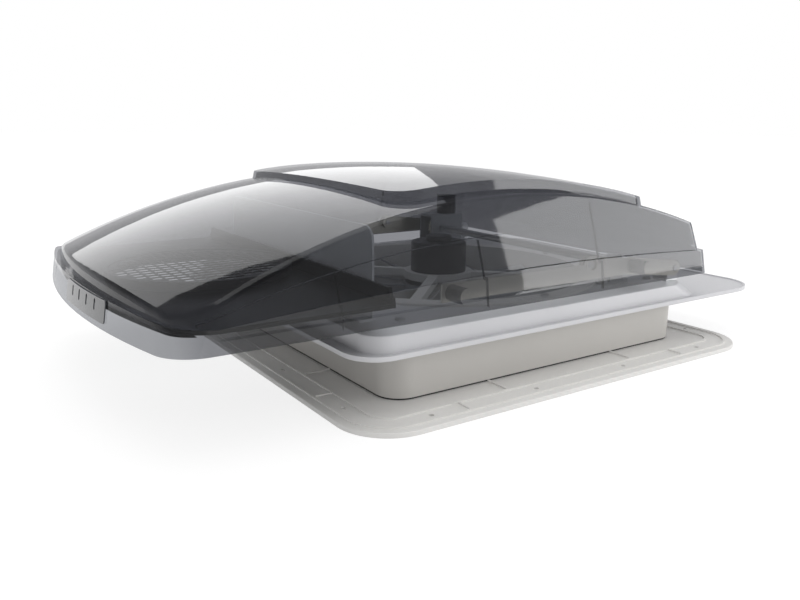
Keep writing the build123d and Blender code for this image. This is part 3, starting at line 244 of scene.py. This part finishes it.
def figure(tree, operation, first, second):
    """A Math node on two sockets or numbers."""
    node = tree.nodes.new("ShaderNodeMath")
    node.operation = operation
    for socket, value in zip(node.inputs, (first, second)):
        if isinstance(value, (int, float)):
            socket.default_value = value
        else:
            tree.links.new(value, socket)
    return node.outputs[0]


def ramp(tree, value, low, high, start=0.0, end=1.0):
    """A value mapped from one range to another."""
    node = tree.nodes.new("ShaderNodeMapRange")
    node.inputs["From Min"].default_value = low
    node.inputs["From Max"].default_value = high
    node.inputs["To Min"].default_value = start
    node.inputs["To Max"].default_value = end
    tree.links.new(value, node.inputs["Value"])
    return node.outputs["Result"]


def colour_mix(tree, factor, first, second):
    """A mix of two colours, the second a colour or a socket."""
    node = tree.nodes.new("ShaderNodeMix")
    node.data_type = "RGBA"
    node.inputs["A"].default_value = first
    if isinstance(second, tuple):
        node.inputs["B"].default_value = second
    else:
        tree.links.new(second, node.inputs["B"])
    tree.links.new(factor, node.inputs["Factor"])
    return node.outputs["Result"]


def shader_mix(tree, factor, first, second):
    """A mix of two shaders, its factor a number or a socket."""
    node = tree.nodes.new("ShaderNodeMixShader")
    if isinstance(factor, float):
        node.inputs["Fac"].default_value = factor
    else:
        tree.links.new(factor, node.inputs["Fac"])
    tree.links.new(first, node.inputs[1])
    tree.links.new(second, node.inputs[2])
    return node.outputs[0]


def seen_share(tree, path):
    """One where the camera, a reflection or glass sees the surface, else zero."""
    seen = figure(tree, "MAXIMUM", path.outputs["Is Camera Ray"], path.outputs["Is Glossy Ray"])
    return figure(tree, "MAXIMUM", seen, path.outputs["Is Transmission Ray"])


def new_material(name):
    """A new material and its node tree."""
    material = bpy.data.materials.new(name)
    material.use_nodes = True
    return material, material.node_tree


def group_value(group, name, kind, socket_type, default=None):
    """Adds a named socket to a node group."""
    socket = group.interface.new_socket(name=name, in_out=kind, socket_type=socket_type)
    if default is not None:
        socket.default_value = default


def moulded_grain_group():
    """Fine cloudiness and grain of moulded plastic."""
    name = "Moulded Grain"
    if name in bpy.data.node_groups:
        return bpy.data.node_groups[name]
    group = bpy.data.node_groups.new(name, "ShaderNodeTree")
    group_value(group, "Colour", "INPUT", "NodeSocketColor", (0.8, 0.8, 0.8, 1))
    group_value(group, "Cloud", "INPUT", "NodeSocketFloat", 0.1)
    group_value(group, "Roughness", "INPUT", "NodeSocketFloat", 0.4)
    group_value(group, "Grain Size", "INPUT", "NodeSocketFloat", fine_grain)
    group_value(group, "Colour", "OUTPUT", "NodeSocketColor")
    group_value(group, "Roughness", "OUTPUT", "NodeSocketFloat")
    group_value(group, "Height", "OUTPUT", "NodeSocketFloat")
    link = group.links.new
    enter = group.nodes.new("NodeGroupInput")
    leave = group.nodes.new("NodeGroupOutput")
    place = group.nodes.new("ShaderNodeTexCoord")
    cloud = group.nodes.new("ShaderNodeTexNoise")
    cloud.inputs["Scale"].default_value = cloud_scale
    cloud.inputs["Detail"].default_value = cloud_detail
    link(place.outputs["Object"], cloud.inputs["Vector"])
    grain = group.nodes.new("ShaderNodeTexNoise")
    grain.inputs["Detail"].default_value = grain_detail
    link(place.outputs["Object"], grain.inputs["Vector"])
    link(enter.outputs["Grain Size"], grain.inputs["Scale"])
    shade = ramp(group, cloud.outputs["Fac"], 0.0, 1.0, -1.0, 1.0)
    share = figure(group, "MULTIPLY", shade, enter.outputs["Cloud"])
    share = figure(group, "ADD", share, 1.0)
    tint = group.nodes.new("ShaderNodeVectorMath")
    tint.operation = "SCALE"
    link(enter.outputs["Colour"], tint.inputs[0])
    link(share, tint.inputs["Scale"])
    rough = figure(group, "MULTIPLY", enter.outputs["Roughness"], share)
    link(tint.outputs[0], leave.inputs["Colour"])
    link(rough, leave.inputs["Roughness"])
    link(grain.outputs["Fac"], leave.inputs["Height"])
    return group


def grained(tree, colour, cloud, roughness, size):
    """The moulded grain with its own values."""
    effect = tree.nodes.new("ShaderNodeGroup")
    effect.node_tree = moulded_grain_group()
    effect.inputs["Colour"].default_value = (*colour, 1)
    effect.inputs["Cloud"].default_value = cloud
    effect.inputs["Roughness"].default_value = roughness
    effect.inputs["Grain Size"].default_value = size
    return effect


def relief(tree, height, strength, depth):
    """The normal of a raised pattern."""
    bump = tree.nodes.new("ShaderNodeBump")
    bump.inputs["Strength"].default_value = strength
    bump.inputs["Distance"].default_value = depth
    tree.links.new(height, bump.inputs["Height"])
    return bump.outputs["Normal"]


def plastic(name, colour, roughness, grain=0.25, coat=0.0):
    """A moulded plastic with cloudiness and grain."""
    material, tree = new_material(name)
    shader = tree.nodes["Principled BSDF"]
    effect = grained(tree, colour, plastic_cloud, roughness, fine_grain)
    normal = relief(tree, effect.outputs["Height"], grain, grain_depth)
    shader.inputs["Coat Weight"].default_value = coat
    tree.links.new(effect.outputs["Colour"], shader.inputs["Base Color"])
    tree.links.new(effect.outputs["Roughness"], shader.inputs["Roughness"])
    tree.links.new(normal, shader.inputs["Normal"])
    return material


def metal(name, colour, roughness, stretch):
    """A metal with fine lines, drawn out along the axes whose stretch is below one."""
    material, tree = new_material(name)
    shader = tree.nodes["Principled BSDF"]
    shader.inputs["Metallic"].default_value = 1
    place = tree.nodes.new("ShaderNodeTexCoord")
    turn = tree.nodes.new("ShaderNodeMapping")
    turn.inputs["Scale"].default_value = stretch
    lines = tree.nodes.new("ShaderNodeTexNoise")
    lines.inputs["Scale"].default_value = line_scale
    lines.inputs["Detail"].default_value = line_detail
    tree.links.new(place.outputs["Object"], turn.inputs["Vector"])
    tree.links.new(turn.outputs["Vector"], lines.inputs["Vector"])
    smooth, rough = roughness * line_smooth_share, roughness * line_rough_share
    shade = ramp(tree, lines.outputs["Fac"], 0.0, 1.0, smooth, rough)
    tree.links.new(shade, shader.inputs["Roughness"])
    dull = (*[channel * line_dull_share for channel in colour], 1)
    shown = colour_mix(tree, lines.outputs["Fac"], dull, (*colour, 1))
    tree.links.new(shown, shader.inputs["Base Color"])
    return material


def dress(material, *names):
    """Gives CAD nodes a material in all their slots."""
    for name in names:
        piece = nodes[name]
        if not piece.material_slots:
            piece.data.materials.append(material)
        for slot in piece.material_slots:
            slot.material = material


def smoked_acrylic(sizes):
    """Clear smoked acrylic: tinted, with a glossy outside and fine moulding waves."""
    material, tree = new_material("Smoked Acrylic")
    link = tree.links.new
    body = tree.nodes["Principled BSDF"]
    effect = grained(tree, sizes.smoke_colour, acrylic_cloud, acrylic_roughness, wave_scale)
    waves = relief(tree, effect.outputs["Height"], wave_strength, wave_depth)
    link(effect.outputs["Colour"], body.inputs["Base Color"])
    body.inputs["Roughness"].default_value = acrylic_body_roughness

    # The front skirt is clearer and duller than the rest.
    place = tree.nodes.new("ShaderNodeTexCoord")
    split = tree.nodes.new("ShaderNodeSeparateXYZ")
    link(place.outputs["Object"], split.inputs[0])
    front = ramp(tree, split.outputs["X"], sizes.thin_front, sizes.thin_front - front_fade)
    low = ramp(tree, split.outputs["Z"], sizes.thin_height + skirt_fade, sizes.thin_height)
    skirt = figure(tree, "MULTIPLY", front, low)
    dulled = figure(tree, "SUBTRACT", 1.0, figure(tree, "MULTIPLY", skirt, front_dull_share))

    # What lies under the lid gets more of the room's light than the camera gets back.
    path = tree.nodes.new("ShaderNodeLightPath")
    lit = figure(tree, "MAXIMUM", path.outputs["Is Shadow Ray"], path.outputs["Is Diffuse Ray"])
    thin = figure(tree, "MAXIMUM", figure(tree, "MULTIPLY", skirt, front_clear_share), lit)
    clear = tree.nodes.new("ShaderNodeBsdfTransparent")
    link(colour_mix(tree, thin, (*sizes.smoke_tint, 1), lit_tint), clear.inputs["Color"])
    haze = shader_mix(tree, sizes.haze, clear.outputs[0], body.outputs[0])

    # Only the outer faces mirror the room.
    gloss = tree.nodes.new("ShaderNodeBsdfGlossy")
    gloss.inputs["Color"].default_value = white
    link(effect.outputs["Roughness"], gloss.inputs["Roughness"])
    link(waves, gloss.inputs["Normal"])
    facing = tree.nodes.new("ShaderNodeLayerWeight")
    facing.inputs["Blend"].default_value = even_blend
    side = tree.nodes.new("ShaderNodeNewGeometry")
    mirror = figure(tree, "POWER", facing.outputs["Facing"], fresnel_power)
    mirror = figure(tree, "MULTIPLY", mirror, grazing_mirror)
    mirror = figure(tree, "ADD", mirror, straight_mirror)
    outside = figure(tree, "SUBTRACT", 1.0, side.outputs["Backfacing"])
    mirror = figure(tree, "MULTIPLY", mirror, outside)
    mirror = figure(tree, "MULTIPLY", mirror, dulled)
    surface = shader_mix(tree, mirror, haze, gloss.outputs[0])
    link(surface, tree.nodes["Material Output"].inputs["Surface"])
    return material


class ROOFVENT_OT_lid(bpy.types.Operator):
    """Dresses the smoked lid and its front plate"""

    bl_idname = "roofvent.lid"
    bl_label = "Smoked Lid"

    def execute(self, context):
        dress(smoked_acrylic(context.scene.roof_vent_lid), "lid_shell")
        dress(plastic("Plate Plastic", (0.035, 0.037, 0.042), 0.22, coat=0.4), "front_plate")
        return {"FINISHED"}


class ROOFVENT_OT_body(bpy.types.Operator):
    """Dresses the flange, neck, tray and deck"""

    bl_idname = "roofvent.body"
    bl_label = "Body"

    def execute(self, context):
        sizes = context.scene.roof_vent_body
        white_plastic = plastic("White Plastic", sizes.white_plastic, 0.42, sizes.grain)
        deck = plastic("Deck Plastic", sizes.deck_plastic, 0.38, sizes.grain)
        wall = plastic("Rain Wall Plastic", sizes.wall_plastic, 0.5, sizes.grain)
        # The neck's plastic is a darker copy of the white plastic, painted shade.
        neck = plastic("Neck Plastic With Painted Shade", sizes.neck_plastic_with_painted_shade, 0.42, sizes.grain)
        dress(neck, "neck")
        dress(white_plastic, "mounting_flange", "fan_shroud", "hand_knob")
        dress(white_plastic, "ceiling_frame", "screen_rim_ring")
        dress(white_plastic, *[name for name in nodes if name.startswith("screen_knob_")])
        dress(deck, "rain_tray", "fan_deck")
        dress(wall, "rain_wall")
        dress(plastic("Gasket Rubber", (0.03, 0.03, 0.03), 0.8), "neck_gasket")
        return {"FINISHED"}


class ROOFVENT_OT_overhang(bpy.types.Operator):
    """Dresses the dark floor of the overhang and its mesh"""

    bl_idname = "roofvent.overhang"
    bl_label = "Overhang Floor"

    def execute(self, context):
        dress(plastic("Black Plastic", (0.012, 0.012, 0.014), 0.3), "vent_frame")
        dress(plastic("Black Mesh", (0.02, 0.02, 0.022), 0.35), "vent_mesh", "insect_net")
        return {"FINISHED"}


class ROOFVENT_OT_drive(bpy.types.Operator):
    """Dresses the lift, the hinge, the drive and the fan"""

    bl_idname = "roofvent.drive"
    bl_label = "Fan and Drive"

    def execute(self, context):
        steel = metal("Zinc Plated Steel", (0.66, 0.67, 0.68), 0.32, (1, 1, 1))
        rail = metal("Rail Metal", (0.72, 0.69, 0.6), 0.38, (0.05, 1, 1))
        motor = plastic("Motor Enamel", (0.05, 0.05, 0.055), 0.35, coat=0.3)
        fan = plastic("Fan Plastic", (0.3, 0.31, 0.33), 0.4)
        nylon = plastic("Nylon", (0.78, 0.75, 0.64), 0.45)
        grey = plastic("Grey Plastic", (0.35, 0.36, 0.38), 0.45)
        dress(steel, *[name for name in nodes if name.endswith("_screws")])
        dress(steel, "rotor_shaft", "hub_nut", "lift_shaft", "roller_pins", "worm_rod")
        dress(steel, "hinge_bracket_left", "hinge_bracket_right", "hinge_pins")
        dress(rail, "side_rail_left", "side_rail_right", "lift_arm_left", "lift_arm_right")
        dress(motor, "fan_motor", "lid_motor")
        dress(fan, "fan_rotor")
        dress(nylon, "worm_wheel", "arm_rollers")
        dress(grey, "gearbox", "shaft_bearing")
        return {"FINISHED"}


class ROOFVENT_OT_controls(bpy.types.Operator):
    """Dresses the control strip and its buttons"""

    bl_idname = "roofvent.controls"
    bl_label = "Controls"

    def execute(self, context):
        bezel = plastic("Bezel Plastic", (0.1, 0.1, 0.11), 0.25)
        button = plastic("Button Plastic", (0.4, 0.41, 0.43), 0.4)
        board = plastic("Board Lacquer", (0.02, 0.13, 0.05), 0.25)
        lens = plastic("Receiver Lens", (0.05, 0.005, 0.01), 0.08)
        dress(bezel, "control_bezel")
        dress(button, *[name for name in nodes if name.endswith("_button")])
        dress(board, "circuit_board")
        dress(lens, "receiver_lens")
        return {"FINISHED"}


def studio_floor(sizes):
    """A plain pale floor that keeps the vent's shadow and shows as white."""
    form = bmesh.new()
    bmesh.ops.create_grid(form, x_segments=1, y_segments=1, size=floor_half)
    data = bpy.data.meshes.new("floor")
    form.to_mesh(data)
    form.free()
    floor = bpy.data.objects.new("floor", data)
    bpy.context.scene.collection.objects.link(floor)
    material, tree = new_material("Studio Floor")
    shader = tree.nodes["Principled BSDF"]
    shader.inputs["Base Color"].default_value = (*sizes.floor_colour, 1)
    shader.inputs["Roughness"].default_value = floor_roughness
    shader.inputs["Specular IOR Level"].default_value = 0
    glow = tree.nodes.new("ShaderNodeEmission")
    glow.inputs["Color"].default_value = white
    glow.inputs["Strength"].default_value = sizes.floor_glow
    seen = seen_share(tree, tree.nodes.new("ShaderNodeLightPath"))
    share = figure(tree, "MULTIPLY", seen, floor_glow_share)
    surface = shader_mix(tree, share, shader.outputs[0], glow.outputs[0])
    tree.links.new(surface, tree.nodes["Material Output"].inputs["Surface"])
    data.materials.append(material)
    return floor


def studio_world(scene, sizes):
    """An even sky, white to the camera, whose reflection darkens with its height."""
    world = bpy.data.worlds.new("Studio World")
    world.use_nodes = True
    tree = world.node_tree
    sky = tree.nodes["Background"]
    path = tree.nodes.new("ShaderNodeLightPath")
    strength = ramp(tree, seen_share(tree, path), 0.0, 1.0, sizes.sky_strength, 1.0)
    tree.links.new(strength, sky.inputs["Strength"])
    place = tree.nodes.new("ShaderNodeTexCoord")
    split = tree.nodes.new("ShaderNodeSeparateXYZ")
    tree.links.new(place.outputs["Generated"], split.inputs[0])
    height = ramp(tree, split.outputs["Z"], horizon_rise, ceiling_rise)
    mirrored = colour_mix(tree, height, horizon_colour, ceiling_colour)
    shown = colour_mix(tree, path.outputs["Is Glossy Ray"], white, mirrored)
    tree.links.new(shown, sky.inputs["Color"])
    scene.world = world


def soft_light(name, place, target, size, power):
    """A rectangular area light aimed at a point."""
    lamp = bpy.data.lights.new(name, "AREA")
    lamp.shape = "RECTANGLE"
    lamp.size, lamp.size_y = size
    lamp.energy = power
    light = bpy.data.objects.new(name, lamp)
    light.location = place
    aim = Vector(target) - Vector(place)
    light.rotation_euler = aim.to_track_quat("-Z", "Y").to_euler()
    bpy.context.scene.collection.objects.link(light)


def photo_camera(scene):
    """The camera at the photograph's place and angle."""
    data = bpy.data.cameras.new("Photo Camera")
    data.sensor_width = sensor_width
    data.lens = camera_lens
    camera = bpy.data.objects.new("Photo Camera", data)
    camera.location = camera_place
    aim = Vector(camera_aim).to_track_quat("-Z", "Y")
    camera.rotation_euler = (aim @ Quaternion((0, 0, 1), camera_roll)).to_euler()
    scene.collection.objects.link(camera)
    scene.camera = camera


class ROOFVENT_OT_stage(bpy.types.Operator):
    """Makes the floor, the lights and the camera"""

    bl_idname = "roofvent.stage"
    bl_label = "Studio"

    def execute(self, context):
        scene = context.scene
        sizes = scene.roof_vent_studio
        floor = studio_floor(sizes)
        studio_world(scene, sizes)
        soft_light("Overhead Light", *overhead_box, sizes.key_power)
        soft_light("Back Light", *back_box, sizes.back_power)
        soft_light("Side Light", *side_box, sizes.side_power)
        scene.view_settings.view_transform = "Standard"
        photo_camera(scene)
        return {"FINISHED"}


class ROOFVENT_PT_panel(bpy.types.Panel):
    """Lists the steps that build the vent"""

    bl_idname = "ROOFVENT_PT_panel"
    bl_label = "Roof Vent"
    bl_space_type = "VIEW_3D"
    bl_region_type = "UI"
    bl_category = "Roof Vent"

    def draw(self, context):
        layout = self.layout
        for settings in (
            context.scene.roof_vent_lid,
            context.scene.roof_vent_body,
            context.scene.roof_vent_studio,
        ):
            for name in settings.__annotations__:
                layout.prop(settings, name)
        for step in steps:
            layout.operator(step.bl_idname)


steps = (
    ROOFVENT_OT_body,
    ROOFVENT_OT_overhang,
    ROOFVENT_OT_drive,
    ROOFVENT_OT_controls,
    ROOFVENT_OT_lid,
    ROOFVENT_OT_stage,
)
classes = (
    RoofVentLidSettings,
    RoofVentBodySettings,
    RoofVentStudioSettings,
    *steps,
    ROOFVENT_PT_panel,
)


def register():
    for part in classes:
        bpy.utils.register_class(part)
    bpy.types.Scene.roof_vent_lid = bpy.props.PointerProperty(type=RoofVentLidSettings)
    bpy.types.Scene.roof_vent_body = bpy.props.PointerProperty(type=RoofVentBodySettings)
    bpy.types.Scene.roof_vent_studio = bpy.props.PointerProperty(type=RoofVentStudioSettings)


def unregister():
    del bpy.types.Scene.roof_vent_studio
    del bpy.types.Scene.roof_vent_body
    del bpy.types.Scene.roof_vent_lid
    for part in reversed(classes):
        bpy.utils.unregister_class(part)


def main():
    register()
    bpy.ops.roofvent.body()
    bpy.ops.roofvent.overhang()
    bpy.ops.roofvent.drive()
    bpy.ops.roofvent.controls()
    bpy.ops.roofvent.lid()
    bpy.ops.roofvent.stage()
    bpy.context.view_layer.update()


if __name__ == "__main__":
    main()
